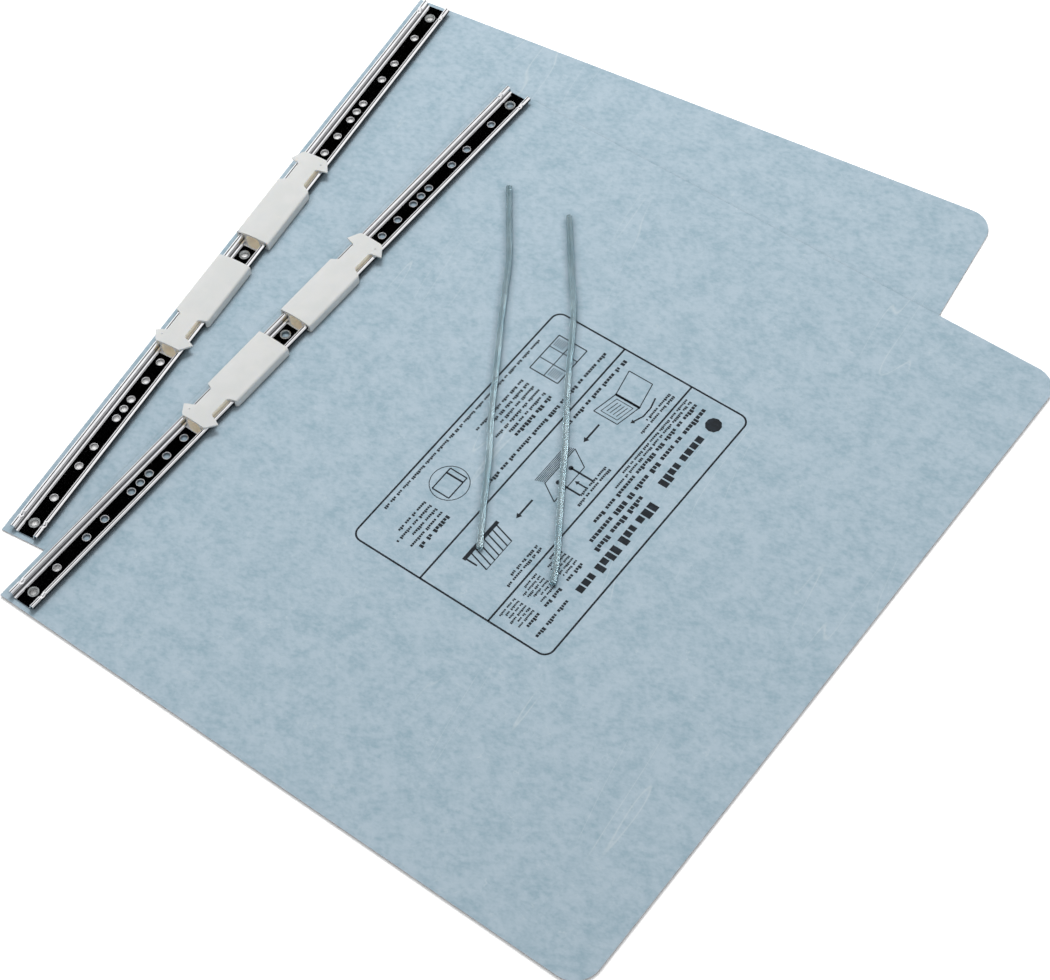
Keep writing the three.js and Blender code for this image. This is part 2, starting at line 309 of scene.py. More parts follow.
def pressboard_material():
    material, shader, principled, coordinates = new_material("pressboard")
    fibre = shader.group(FIBRE, {"Vector": coordinates})
    mottle = shader.math("ADD", shader.math("MULTIPLY", fibre["Specks"], 0.62),
                         shader.math("MULTIPLY", fibre["Blotches"], 0.38))
    colour = shader.mix(shader.remap(mottle, 0.26, 0.66), BOARD_DARK, BOARD_PALE)
    colour = shader.mix(shader.math("MULTIPLY", fibre["Fibres"], 0.4), colour, BOARD_FIBRE)
    colour = shader.mix(shader.math("MULTIPLY", fibre["Scuffs"], 0.4), colour, BOARD_SCUFF)
    normal = shader.add("ShaderNodeNewGeometry").outputs["Normal"]
    up = shader.add("ShaderNodeSeparateXYZ", {0: normal}).outputs["Z"]
    edge = shader.remap(shader.math("ABSOLUTE", up), 0.3, 0.8, 1.0, 0.0)
    colour = shader.mix(edge, colour, BOARD_EDGE)
    # Painted shade: ambient occlusion darkens upward faces near other parts, in the holes and beside the
    # rails, as a painted contact shadow.
    corner = shader.remap(shader.open_air(), 0.4, 0.85, 1.0, 0.0)
    painted_shade_mask = shader.math("MULTIPLY", corner, shader.remap(up, 0.4, 0.8))
    colour = shader.mix(shader.math("MULTIPLY", painted_shade_mask, 0.85), colour, BOARD_PAINTED_SHADE)
    shader.feed(principled.inputs["Base Color"], colour)
    shader.feed(principled.inputs["Roughness"], shader.remap(fibre["Specks"], 0.3, 0.7, 0.66, 0.54))
    principled.inputs["Specular IOR Level"].default_value = 0.3
    tooth = shader.noise(coordinates, 2600.0, 1.0, 0.6)
    bump(shader, principled, tooth, 0.00003, 0.4)
    return material


def steel_material(name, tint, roughness):
    material, shader, principled, coordinates = new_material(name)
    rub = shader.group(RUB, {"Vector": coordinates})
    smudged = [channel * 0.92 for channel in tint[:3]] + [1]
    colour = shader.mix(shader.remap(rub["Smudge"], 0.35, 0.7), tint, smudged)
    # Painted shade and painted dark reflection: the rail's marked skirts and walls are mixed towards near
    # black.
    shade = shader.add("ShaderNodeAttribute", attribute_name="shade").outputs["Fac"]
    colour = shader.mix(shade, colour, STEEL_PAINTED_SHADE)
    shader.feed(principled.inputs["Base Color"], colour)
    principled.inputs["Metallic"].default_value = 1.0
    worn = shader.remap(rub["Smudge"], 0.3, 0.7, roughness, roughness * 1.7)
    shader.feed(principled.inputs["Roughness"], worn)
    bump(shader, principled, rub["Lines"], 0.000004, 0.15)
    return material


def nylon_material():
    material, shader, principled, coordinates = new_material("hook_nylon")
    grain = shader.group(GRAIN, {"Vector": coordinates})
    colour = shader.mix(shader.remap(grain["Cloud"], 0.35, 0.65), NYLON_COOL, NYLON_PALE)
    # Painted light: the hollow's faces get a paler cream colour and a faint glow, which stand in for light
    # coming through the nylon.
    hollow = shader.add("ShaderNodeAttribute", attribute_name="hollow").outputs["Fac"]
    colour = shader.mix(hollow, colour, NYLON_PAINTED_LIGHT)
    shader.feed(principled.inputs["Base Color"], colour)
    principled.inputs["Emission Color"].default_value = NYLON_PAINTED_GLOW
    shader.feed(principled.inputs["Emission Strength"], shader.math("MULTIPLY", hollow, 0.11))
    shader.feed(principled.inputs["Roughness"], shader.remap(grain["Grain"], 0.3, 0.7, 0.34, 0.46))
    principled.inputs["Subsurface Weight"].default_value = 0.3
    principled.inputs["Subsurface Radius"].default_value = (1.0, 0.85, 0.65)
    principled.inputs["Subsurface Scale"].default_value = 0.0012
    bump(shader, principled, grain["Grain"], 0.00002, 0.3)
    return material


def post_material():
    material, shader, principled, coordinates = new_material("post_nylon")
    grain = shader.group(GRAIN, {"Vector": coordinates, "Scale": 500.0})
    colour = shader.mix(shader.remap(grain["Cloud"], 0.35, 0.65), POST_DARK, POST_PALE)
    shader.feed(principled.inputs["Base Color"], colour)
    principled.inputs["Transmission Weight"].default_value = 0.75
    principled.inputs["IOR"].default_value = 1.5
    shader.feed(principled.inputs["Roughness"], shader.remap(grain["Grain"], 0.3, 0.7, 0.06, 0.14))
    return material


def ink_material():
    material, shader, principled, coordinates = new_material("print_ink")
    fibre = shader.group(FIBRE, {"Vector": coordinates})
    colour = shader.mix(shader.remap(fibre["Specks"], 0.45, 0.7, 0.0, 0.3), INK_FRESH, INK_WORN)
    shader.feed(principled.inputs["Base Color"], colour)
    shader.feed(principled.inputs["Roughness"], shader.remap(fibre["Blotches"], 0.3, 0.7, 0.6, 0.48))
    return material


# Small helpers for meshes

def link_piece(name, mesh, material):
    piece = bpy.data.objects.new(name, mesh)
    bpy.context.scene.collection.objects.link(piece)
    if material is not None:
        mesh.materials.clear()
        mesh.materials.append(material)
    return piece


def baked(piece):
    """The piece with its modifiers made part of a plain mesh."""
    depsgraph = bpy.context.evaluated_depsgraph_get()
    mesh = bpy.data.meshes.new_from_object(piece.evaluated_get(depsgraph), depsgraph=depsgraph)
    piece.modifiers.clear()
    old = piece.data
    piece.data = mesh
    mesh.name = piece.name
    bpy.data.meshes.remove(old)
    return piece


def bmesh_piece(name, bm, material, smooth_angle=None):
    bmesh.ops.recalc_face_normals(bm, faces=bm.faces)
    if smooth_angle is not None:
        for face in bm.faces:
            face.smooth = True
        for edge in bm.edges:
            edge.smooth = len(edge.link_faces) == 2 and edge.calc_face_angle() < smooth_angle
    mesh = bpy.data.meshes.new(name)
    bm.to_mesh(mesh)
    bm.free()
    return link_piece(name, mesh, material)


def weigh_normals(piece):
    modifier = piece.modifiers.new("weigh", "WEIGHTED_NORMAL")
    modifier.keep_sharp = True
    modifier.mode = "FACE_AREA"


def arc(centre_x, centre_y, radius, start, end, steps):
    """Points on an arc, with the angles in degrees."""
    points = []
    for i in range(steps + 1):
        angle = math.radians(start + (end - start) * i / steps)
        points.append((centre_x + radius * math.cos(angle), centre_y + radius * math.sin(angle)))
    return points


def both_ways(distances):
    return [sign * distance for distance in distances for sign in (1, -1)]


def clamp(value):
    return min(1.0, max(0.0, value))


def skin(bm, rings):
    """Joins rings of vertices, all with as many, into a solid with flat ends."""
    count = len(rings[0])
    for near, far in zip(rings, rings[1:]):
        for i in range(count):
            j = (i + 1) % count
            bm.faces.new((near[i], near[j], far[j], far[i]))
    bm.faces.new(rings[0])
    bm.faces.new(list(reversed(rings[-1])))


def upright_cylinder(bm, place, radius, depth, segments):
    bmesh.ops.create_cone(bm, cap_ends=True, segments=segments, radius1=radius * MM,
                          radius2=radius * MM, depth=depth * MM, matrix=place)


def take_away(piece, name, cutter):
    """Adds the cut of another object to the piece's modifiers."""
    cut = piece.modifiers.new(name, "BOOLEAN")
    cut.operation = "DIFFERENCE"
    cut.solver = "EXACT"
    cut.object = cutter


# Rails: one sheet-metal section swept along Y, dented at the stakes, then pierced

STAKE_REACH = 0.9
STAKE_LIFT = 0.12
STAKE_SPREAD = 0.28
STAKE_STEP = 0.3
SKIRT_START = 0.8
SKIRT_FADE = 0.15
WALL_START = 0.45
WALL_FADE = 0.45
CUTTER_DEPTH = 2
CUTTER_SEGMENTS = 40
RAIL_SMOOTH_ANGLE = math.radians(28)


def rail_section():
    """The rail's closed outline in X and Z, with the right half first."""
    rim_x = CHANNEL_HALF + RIM_RADIUS
    rim_z = RAIL_HEIGHT - RIM_RADIUS
    rail_half = CHANNEL_HALF + 2 * RIM_RADIUS
    fillet_x = CHANNEL_HALF - FLOOR_FILLET
    fillet_z = RAIL_SHEET + FLOOR_FILLET
    outside = arc(fillet_x, fillet_z, FLOOR_FILLET + RAIL_SHEET, -90, 0, 6)
    outside += arc(rim_x, rim_z, RIM_RADIUS - RAIL_SHEET, 180, 0, 12)
    outside += [(rail_half - RAIL_SHEET, RIM_SKIRT_GAP + 0.1)]
    lip = arc(rail_half - RAIL_SHEET / 2, RIM_SKIRT_GAP + 0.15, RAIL_SHEET / 2, 200, 340, 4)
    inside = arc(rim_x, rim_z, RIM_RADIUS, 0, 180, 24)
    inside += arc(fillet_x, fillet_z, FLOOR_FILLET, 0, -90, 8)
    right = outside + lip + inside
    left = [(-x, z) for x, z in reversed(right)]
    return right + left


def stake_dent(x, y, z):
    """Moves a point of the rim where a stake was struck: a notch with its metal pushed out sideways."""
    rim_z = RAIL_HEIGHT - RIM_RADIUS
    if abs(x) < CHANNEL_HALF - 0.01 or z < rim_z - STAKE_REACH:
        return x, y, z
    off = abs(abs(y) - END_EYELET)
    depth = max(0.0, 1 - off / STAKE_HALF)
    lift = max(0.0, 1 - abs(off - STAKE_HALF - 0.3) / 0.5) * STAKE_LIFT
    share = clamp((z - rim_z + STAKE_REACH) / (RIM_RADIUS + STAKE_REACH))
    side = math.copysign(1, x)
    outer = clamp((abs(x) - CHANNEL_HALF) / (2 * RIM_RADIUS))
    pushed = x + side * STAKE_SPREAD * depth * outer * share
    return pushed, y, z - STAKE_DEPTH * depth * share ** 1.5 + lift * share


def rail_stations():
    """Places along the rail: few on the straight, many around each stake."""
    half = RAIL_LENGTH / 2
    stations = {-half, half}
    stations.update(i * INCH / 2 for i in range(-14, 15))
    for middle in (-END_EYELET, END_EYELET):
        stations.update(middle + i * STAKE_STEP for i in range(-8, 9))
    return sorted(stations)


def hole_cutter(side):
    """All of a rail's holes as upright cylinders in one mesh."""
    bm = bmesh.new()
    holes = [(y, RAIL_HOLE_RADIUS) for y in both_ways(POST_HOLES)]
    holes += [(y, EYELET_HOLE_RADIUS) for y in (-END_EYELET, 0, END_EYELET)]
    for y, radius in holes:
        place = Matrix.Translation(Vector((0, y, COVER_THICKNESS + RAIL_SHEET / 2)) * MM)
        upright_cylinder(bm, PLACES[side] @ place, radius, CUTTER_DEPTH, CUTTER_SEGMENTS)
    return bmesh_piece("hole_cutter", bm, None)


def mark_painted_shades(mesh, side):
    """Marks where painted shade and painted dark reflection go on the steel: the skirts, the outer walls
    under the rims and the channel's inner walls, darker towards their feet.
    """
    layer = mesh.attributes.new("shade", "FLOAT", "POINT")
    local = PLACES[side].inverted()
    wall_low = RAIL_SHEET + FLOOR_FILLET
    wall_high = RAIL_HEIGHT - RIM_RADIUS
    for vertex in mesh.vertices:
        spot = local @ vertex.co / MM
        x, z = abs(spot.x), spot.z - COVER_THICKNESS
        outer = (x - CHANNEL_HALF - RIM_RADIUS) / RIM_RADIUS
        if outer > 0:
            shade = (outer - SKIRT_START) / SKIRT_FADE
        elif x > CHANNEL_HALF + 0.1:
            shade = 1.0 if z < wall_high else 0.0
        elif z > wall_low - WALL_START and x > CHANNEL_HALF - 0.1:
            shade = 1.0 - WALL_FADE * abs(z - wall_low) / (wall_high - wall_low)
        else:
            shade = 0.0
        layer.data[vertex.index].value = clamp(shade)


def make_rail(side, material):
    section = rail_section()
    bm = bmesh.new()
    rings = []
    for y in rail_stations():
        ring = []
        for x, z in section:
            point = Vector(stake_dent(x, y, z)) + Vector((0, 0, COVER_THICKNESS))
            ring.append(bm.verts.new(PLACES[side] @ (point * MM)))
        rings.append(ring)
    skin(bm, rings)
    rail = bmesh_piece(f"{side}_rail_sheet", bm, material, RAIL_SMOOTH_ANGLE)
    cutter = hole_cutter(side)
    take_away(rail, "holes", cutter)
    weigh_normals(rail)
    baked(rail)
    bpy.data.objects.remove(cutter)
    mark_painted_shades(rail.data, side)
    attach(rail, "root")
    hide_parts(f"{side}_rail")


# Eyelets and burnished hole edges: rolled rings with a tube below, set on points by Geometry Nodes

ROLL_SEGMENTS = 14
HOLE_ROLL = 0.16
HOLE_ROLL_INSET = 0.14
HOLE_ROLL_HEIGHT = 0.8
HOLE_TUBE_INSET = 0.06
HOLE_TUBE_WALL = 0.1
EYELET_LIFT = 0.02
EYELET_ROLL_HEIGHT = 0.85
EYELET_TUBE_GAP = 0.15
EYELET_TUBE_WALL = 0.3


def ring_tree():
    """A node tree that puts a rolled ring, with a short tube down its hole, on every point."""
    tree = bpy.data.node_groups.new("rolled_rings", "GeometryNodeTree")
    face = tree.interface
    face.new_socket("Geometry", in_out="INPUT", socket_type="NodeSocketGeometry")
    for label, default in (("Ring Radius", 0.0023), ("Roll Radius", 0.0004), ("Roll Height", 1.0),
                           ("Tube Radius", 0.002), ("Tube Wall", 0.0003), ("Tube Depth", 0.0012)):
        face.new_socket(label, in_out="INPUT", socket_type="NodeSocketFloat").default_value = default
    face.new_socket("Segments", in_out="INPUT", socket_type="NodeSocketInt").default_value = 48
    face.new_socket("Material", in_out="INPUT", socket_type="NodeSocketMaterial")
    face.new_socket("Geometry", in_out="OUTPUT", socket_type="NodeSocketGeometry")
    shader = Shader(tree)
    source = shader.add("NodeGroupInput").outputs
    target = shader.add("NodeGroupOutput").inputs

    def circle(segments, radius):
        inputs = {"Resolution": segments, "Radius": radius}
        return shader.add("GeometryNodeCurvePrimitiveCircle", inputs).outputs["Curve"]

    path = circle(source["Segments"], source["Ring Radius"])
    section = circle(ROLL_SEGMENTS, source["Roll Radius"])
    roll = shader.add("GeometryNodeCurveToMesh", {"Curve": path, "Profile Curve": section}).outputs[0]
    squash = shader.add("ShaderNodeCombineXYZ", {"X": 1.0, "Y": 1.0, "Z": source["Roll Height"]}).outputs[0]
    roll = shader.add("GeometryNodeTransform", {"Geometry": roll, "Scale": squash}).outputs[0]

    tube_path = circle(source["Segments"], source["Tube Radius"])
    wall_inputs = {"Width": source["Tube Wall"], "Height": source["Tube Depth"]}
    wall = shader.add("GeometryNodeCurvePrimitiveQuadrilateral", wall_inputs).outputs[0]
    tube = shader.add("GeometryNodeCurveToMesh", {"Curve": tube_path, "Profile Curve": wall}).outputs[0]
    drop = shader.math("MULTIPLY", source["Tube Depth"], -0.5)
    shift = shader.add("ShaderNodeCombineXYZ", {"Z": drop}).outputs[0]
    tube = shader.add("GeometryNodeTransform", {"Geometry": tube, "Translation": shift}).outputs[0]
    tube = shader.add("GeometryNodeSetShadeSmooth", {"Geometry": tube, "Shade Smooth": False}).outputs[0]

    join = shader.add("GeometryNodeJoinGeometry")
    tree.links.new(roll, join.inputs[0])
    tree.links.new(tube, join.inputs[0])
    spread_inputs = {"Points": source["Geometry"], "Instance": join.outputs[0]}
    spread = shader.add("GeometryNodeInstanceOnPoints", spread_inputs).outputs[0]
    real = shader.add("GeometryNodeRealizeInstances", {"Geometry": spread}).outputs[0]
    done = shader.add("GeometryNodeSetMaterial", {"Geometry": real, "Material": source["Material"]})
    shader.feed(target["Geometry"], done.outputs[0])
    return tree


def set_on_points(name, places, tree, values, material):
    """One plain mesh of the tree's pieces, one on each of the places."""
    bm = bmesh.new()
    for place in places:
        bm.verts.new(place)
    mesh = bpy.data.meshes.new(name)
    bm.to_mesh(mesh)
    bm.free()
    piece = link_piece(name, mesh, None)
    modifier = piece.modifiers.new("rings", "NODES")
    modifier.node_group = tree
    sockets = {item.name: item.identifier for item in tree.interface.items_tree if item.in_out == "INPUT"}
    for label, value in values.items():
        modifier[sockets[label]] = value
    modifier[sockets["Material"]] = material
    return baked(piece)


def make_rings(side, tree, rim_material, eyelet_material):
    seat = COVER_THICKNESS + RAIL_SHEET
    rims = [PLACES[side] @ (Vector((0, y, seat)) * MM) for y in both_ways(POST_HOLES)]
    piece = set_on_points(f"{side}_hole_edges", rims, tree, {
        "Ring Radius": (RAIL_HOLE_RADIUS - HOLE_ROLL_INSET) * MM,
        "Roll Radius": HOLE_ROLL * MM,
        "Roll Height": HOLE_ROLL_HEIGHT,
        "Tube Radius": (RAIL_HOLE_RADIUS - HOLE_TUBE_INSET) * MM,
        "Tube Wall": HOLE_TUBE_WALL * MM,
        "Tube Depth": RAIL_SHEET * MM,
    }, rim_material)
    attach(piece, "root")
    ring = (EYELET_BORE_RADIUS + EYELET_FLANGE_RADIUS) / 2
    roll = (EYELET_FLANGE_RADIUS - EYELET_BORE_RADIUS) / 2
    for place, y in (("near", -END_EYELET), ("middle", 0), ("far", END_EYELET)):
        spot = PLACES[side] @ (Vector((0, y, seat + EYELET_LIFT)) * MM)
        eyelet = set_on_points(f"{side}_eyelet_ring_{place}", [spot], tree, {
            "Ring Radius": ring * MM,
            "Roll Radius": roll * MM,
            "Roll Height": EYELET_ROLL_HEIGHT,
            "Tube Radius": (EYELET_BORE_RADIUS + EYELET_TUBE_GAP) * MM,
            "Tube Wall": EYELET_TUBE_WALL * MM,
            "Tube Depth": seat * MM,
        }, eyelet_material)
        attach(eyelet, "root")
        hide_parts(f"{side}_eyelet_{place}")


# Hooks: the moulded shape with every edge softened

HOOK_EDGE_RADIUS = 0.22
HOOK_EDGE_ANGLE = math.radians(35)


def mark_hollow(bm, side):
    """Marks the faces of the arched hollow and of the neck's sides, which get a painted glow that stands in
    for light coming through the nylon.
    """
    layer = bm.faces.layers.float.new("hollow")
    local = PLACES[side].inverted()
    for face in bm.faces:
        middle = local @ face.calc_center_median() / MM
        normal = local.to_3x3() @ face.normal
        narrow = abs(middle.x) < HOOK_BODY_HALF + 0.1
        low = middle.z < COVER_THICKNESS + HOOK_HOLLOW_TOP + 0.1
        sideways = abs(normal.y) < 0.5 and normal.z < 0.5
        face[layer] = 1.0 if narrow and low and sideways else 0.0


def pin_mark(node):
    """A shallow round pit that an ejector pin left on the head."""
    side, _, end = node.split("_")
    sign = 1 if end == "far" else -1
    across, along = PIN_MARK[0] * sign, (HOOK_INNER_END + PIN_MARK[1]) * sign
    spot = Vector((across, along, COVER_THICKNESS + PIN_MARK_HEIGHT))
    bm = bmesh.new()
    place = PLACES[side] @ Matrix.Translation(spot * MM)
    upright_cylinder(bm, place, PIN_MARK_RADIUS, PIN_MARK_CUTTER_DEPTH, PIN_MARK_SEGMENTS)
    return bmesh_piece("pin_mark", bm, None)


def make_hook(node, material):
    bm = bmesh.new()
    bm.from_mesh(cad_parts[node].data)
    bmesh.ops.remove_doubles(bm, verts=bm.verts, dist=0.001 * MM)
    bmesh.ops.dissolve_limit(bm, angle_limit=math.radians(0.2), verts=bm.verts, edges=bm.edges)
    bm.normal_update()
    mark_hollow(bm, node.split("_")[0])
    piece = bmesh_piece(f"{node}_moulding", bm, material, HOOK_EDGE_ANGLE)
    soften = piece.modifiers.new("soften", "BEVEL")
    soften.width = HOOK_EDGE_RADIUS * MM
    soften.segments = 3
    soften.limit_method = "ANGLE"
    soften.angle_limit = HOOK_EDGE_ANGLE
    soften.harden_normals = True
    cutter = pin_mark(node)
    take_away(piece, "pit", cutter)
    baked(piece)
    bpy.data.objects.remove(cutter)
    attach(piece, node)
    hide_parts(node)


# Posts: round flexible rods in the bends that they have taken

POST_SIDES = 32
POST_CHAMFER = 0.25
POST_SMOOTH_ANGLE = math.radians(40)
ROUTE_STEPS = 8


def smooth_route(points, steps):
    """Points along a curve through the given ones."""
    ends = [points[0]] + list(points) + [points[-1]]
    route = []
    for a, b, c, d in zip(ends, ends[1:], ends[2:], ends[3:]):
        for i in range(steps):
            t = i / steps
            route.append(0.5 * ((2 * b) + (c - a) * t + (2 * a - 5 * b + 4 * c - d) * t ** 2
                                + (3 * b - a - 3 * c + d) * t ** 3))
    route.append(points[-1])
    return route


def make_post(name, node, points, material):
    height = COVER_THICKNESS + POST_RADIUS + POST_REST_GAP
    route = smooth_route([Vector((x, y, height)) for x, y in points], ROUTE_STEPS)
    last = len(route) - 1
    stops = [(0, POST_RADIUS - POST_CHAMFER, 0.0), (0, POST_RADIUS, POST_CHAMFER)]
    stops += [(i, POST_RADIUS, 0.0) for i in range(1, last)]
    stops += [(last, POST_RADIUS, -POST_CHAMFER), (last, POST_RADIUS - POST_CHAMFER, 0.0)]
    bm = bmesh.new()
    rings = []
    for index, radius, slide in stops:
        along = (route[min(index + 1, last)] - route[max(index - 1, 0)]).normalized()
        across = along.cross(Vector((0, 0, 1))).normalized()
        up = across.cross(along)
        middle = route[index] + along * slide
        ring = []
        for k in range(POST_SIDES):
            angle = 2 * math.pi * k / POST_SIDES
            point = middle + (across * math.cos(angle) + up * math.sin(angle)) * radius
            ring.append(bm.verts.new(PLACES["front"] @ (point * MM)))
        rings.append(ring)
    skin(bm, rings)
    piece = bmesh_piece(name, bm, material, POST_SMOOTH_ANGLE)
    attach(piece, "root")
    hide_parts(node)


# Print on the front cover: a ruled frame with bars and simple shapes, in the cover's own frame

PRINT_LEFT = 101.5
PRINT_RIGHT = 217.5
PRINT_LOW = -72.9
PRINT_HIGH = 89.3
PRINT_CORNER = 5.5
PRINT_LINE = 0.95
PRINT_DIVIDERS = (143.0, 183.0)
PRINT_SEED = 7
INK_LOW = 0.01
INK_HIGH = 0.03


class Print:
    """Collects flat ink shapes. U runs down the page along -Y, V runs across it along +X."""

    def __init__(self):
        self.bm = bmesh.new()

    def place(self, u, v, height):
        point = Vector((PRINT_LEFT + v, PRINT_HIGH - u, COVER_THICKNESS + height))
        return PLACES["front"] @ (point * MM)

    def loops(self, outline):
        """The outline's vertices at the ink's lower and upper face."""
        return [[self.bm.verts.new(self.place(u, v, height)) for u, v in outline]
                for height in (INK_LOW, INK_HIGH)]

    def shape(self, outline):
        low, high = self.loops(outline)
        self.bm.faces.new(low)
        self.bm.faces.new(list(reversed(high)))
        self.walls(low, high)

    def walls(self, low, high):
        for i in range(len(low)):
            j = (i + 1) % len(low)
            self.bm.faces.new((low[i], high[i], high[j], low[j]))

    def band(self, outer, inner):
        """The ink between two outlines that have as many points."""
        loops = []
        for outline in (outer, inner):
            low, high = self.loops(outline)
            self.walls(low, high)
            loops.append((low, high))
        for level in (0, 1):
            a, b = loops[0][level], loops[1][level]
            for i in range(len(a)):
                j = (i + 1) % len(a)
                self.bm.faces.new((a[i], a[j], b[j], b[i]))

    def bar(self, u, v, length, height):
        self.shape([(u, v), (u + length, v), (u + length, v + height), (u, v + height)])

    def line(self, start, end, width):
        a, b = Vector(start), Vector(end)
        side = (b - a).orthogonal().normalized() * width / 2
        self.shape([tuple(a - side), tuple(b - side), tuple(b + side), tuple(a + side)])

    def path(self, points, width):
        for start, end in zip(points, points[1:]):
            self.line(start, end, width)

    def ring(self, u, v, radius, width):
        self.band(arc(u, v, radius, 0, 345, 23), arc(u, v, radius - width, 0, 345, 23))

    def words(self, u, v, length, height, draw, gap=0.7):
        """A row of small upright blocks in groups, which stands for a line of print."""
        at = u
        while at < u + length - height:
            for _ in range(draw.randint(2, 8)):
                wide = height * draw.uniform(0.5, 0.72)
                if at + wide > u + length:
                    break
                self.bar(at, v, wide, height * draw.choice((0.7, 0.72, 1.0)))
                at += wide + height * 0.16
            at += gap * height

    def dot(self, u, v, radius):
        self.shape(arc(u, v, radius, 0, 324, 9))

    def arrow(self, points, width=0.8, head=2.0):
        self.path(points, width)
        tip, back = Vector(points[-1]), Vector(points[-2])
        along = (tip - back).normalized()
        side = along.orthogonal() * head * 0.6
        self.shape([tuple(tip + along * head), tuple(tip + side), tuple(tip - side)])

    def outline(self, points, width):
        self.path(points + points[:1], width)


def rounded_box(low_u, high_u, low_v, high_v, radius):
    return (arc(high_u - radius, high_v - radius, radius, 0, 90, 8)
            + arc(low_u + radius, high_v - radius, radius, 90, 180, 8)
            + arc(low_u + radius, low_v + radius, radius, 180, 270, 8)
            + arc(high_u - radius, low_v + radius, radius, 270, 360, 8))


def print_frame(ink):
    height = PRINT_HIGH - PRINT_LOW
    width = PRINT_RIGHT - PRINT_LEFT
    outer = rounded_box(0, height, 0, width, PRINT_CORNER)
    inner = rounded_box(PRINT_LINE, height - PRINT_LINE, PRINT_LINE, width - PRINT_LINE,
                        PRINT_CORNER - PRINT_LINE)
    ink.band(outer, inner)
    for x in PRINT_DIVIDERS:
        ink.bar(PRINT_LINE / 2, x - PRINT_LEFT - PRINT_LINE / 2, height - PRINT_LINE, PRINT_LINE)


def print_titles(ink, draw):
    """The field at the outer side: a badge, title lines, short paragraphs and a three-column list."""
    ink.dot(13, 103, 4.2)
    ink.words(22, 100.5, 34, 5.2, draw, 0.4)
    ink.words(66, 104, 60, 5.4, draw, 0.4)
    ink.words(66, 98, 40, 2.8, draw)
    ink.words(8, 93.2, 92, 2.8, draw)
    ink.words(8, 88.4, 84, 2.3, draw)
    for row in range(2):
        ink.words(8, 85.6 - row * 2.3, 62 - row * 9, 1.4, draw)
    for column in range(3):
        left = 112 + column * 16.5
        ink.words(left, 97.4, 12, 2.0, draw)
        for row in range(6):
            ink.words(left, 94.6 - row * 2.15, draw.uniform(8, 13.5), 1.2, draw)
    ink.words(132, 104, 24, 2.0, draw)


def draw_folder(ink, u, v):
    """An open folder with a sheet in it."""
    ink.outline([(u, v), (u + 15, v + 3), (u + 15, v + 17), (u, v + 14)], 0.5)
    ink.outline([(u + 15, v + 3), (u + 29, v), (u + 29, v + 14), (u + 15, v + 17)], 0.5)
    ink.line((u + 15, v + 2.6), (u + 15, v + 17.4), 1.3)
    ink.outline([(u + 17, v + 5), (u + 27, v + 2.8), (u + 27, v + 12.5), (u + 17, v + 14.7)], 0.35)
    for i in range(4):
        ink.line((u + 18.5, v + 6.8 + i * 1.9), (u + 25.5, v + 5.2 + i * 1.9), 0.4)
    ink.arrow([(u + 6, v + 20), (u + 12, v + 21.5), (u + 18, v + 21.5), (u + 23, v + 19.5)])


def draw_sheets(ink, u, v):
    """A squared-up stack of sheets, its edges drawn as close lines, with a pin over it."""
    ink.outline([(u, v + 6), (u + 24, v + 6), (u + 30, v + 16), (u + 6, v + 16)], 0.5)
    for i in range(6):
        ink.line((u + i * 0.3, v + 5.2 - i * 0.8), (u + 24 + i * 0.3, v + 5.2 - i * 0.8), 0.35)
    ink.line((u + 10, v + 11), (u + 10, v + 24), 1.0)
    ink.line((u + 20, v + 11), (u + 20, v + 24), 1.0)
    ink.dot(u + 10, v + 11, 1.3)
    ink.dot(u + 20, v + 11, 1.3)
    ink.arrow([(u + 15, v + 24), (u + 15, v + 19)])


def draw_stand(ink, u, v):
    """A slotted stand with covers leaning in it."""
    ink.shape([(u, v), (u + 26, v), (u + 26, v + 2), (u, v + 2)])
    for i in range(7):
        ink.line((u + 2 + i * 3.2, v + 2), (u + 5 + i * 3.2, v + 13), 0.7)
    ink.line((u + 25, v + 2), (u + 25, v + 8), 0.9)
    ink.line((u + 5, v + 13), (u + 24.2, v + 13), 0.35)


def draw_tray(ink, u, v):
    """A tray seen from above, divided in six."""
    ink.outline([(u, v), (u + 24, v), (u + 24, v + 17), (u, v + 17)], 0.6)
    ink.line((u, v + 8.5), (u + 24, v + 8.5), 0.5)
    ink.line((u + 8, v), (u + 8, v + 17), 0.5)
    ink.line((u + 16, v), (u + 16, v + 17), 0.5)
    for i in range(6):
        ink.line((u + 1.5, v + 1.4 + i), (u + 6.5, v + 1.4 + i), 0.3)
        ink.line((u + 17.5, v + 10 + i), (u + 22.5, v + 10 + i), 0.3)


def print_steps(ink, draw):
    """The middle field: three plain drawings side by side, each with a caption."""
    ink.words(6, 45, 52, 2.2, draw)
    for drawing, u in ((draw_folder, 10), (draw_sheets, 62), (draw_stand, 116)):
        drawing(ink, u, 51)
    for u in (10, 62, 116):
        ink.words(u, 77, 27, 1.5, draw)
        ink.words(u, 74.6, 20, 1.5, draw)
    ink.arrow([(44, 58), (54, 58)], 1.0, 2.6)
    ink.arrow([(97, 58), (107, 58)], 1.0, 2.6)


def print_extras(ink, draw):
    """The field at the binding side: a tray and a closed folder, each beside a short paragraph."""
    ink.words(8, 34.5, 96, 2.1, draw)
    draw_tray(ink, 12, 10)
    ink.ring(112, 20, 10, 0.4)
    ink.outline([(105, 15), (119, 15), (119, 25), (105, 25)], 0.7)
    ink.line((108, 15), (108, 25), 1.0)
    for row in range(6):
        ink.words(44, 28 - row * 3.4, draw.uniform(26, 46), 2.3 if row == 0 else 1.6, draw)
    for row in range(5):
        ink.words(127, 30 - row * 3.4, draw.uniform(18, 28), 2.3 if row == 0 else 1.6, draw)
    ink.words(20, 3.2, 122, 1.5, draw)


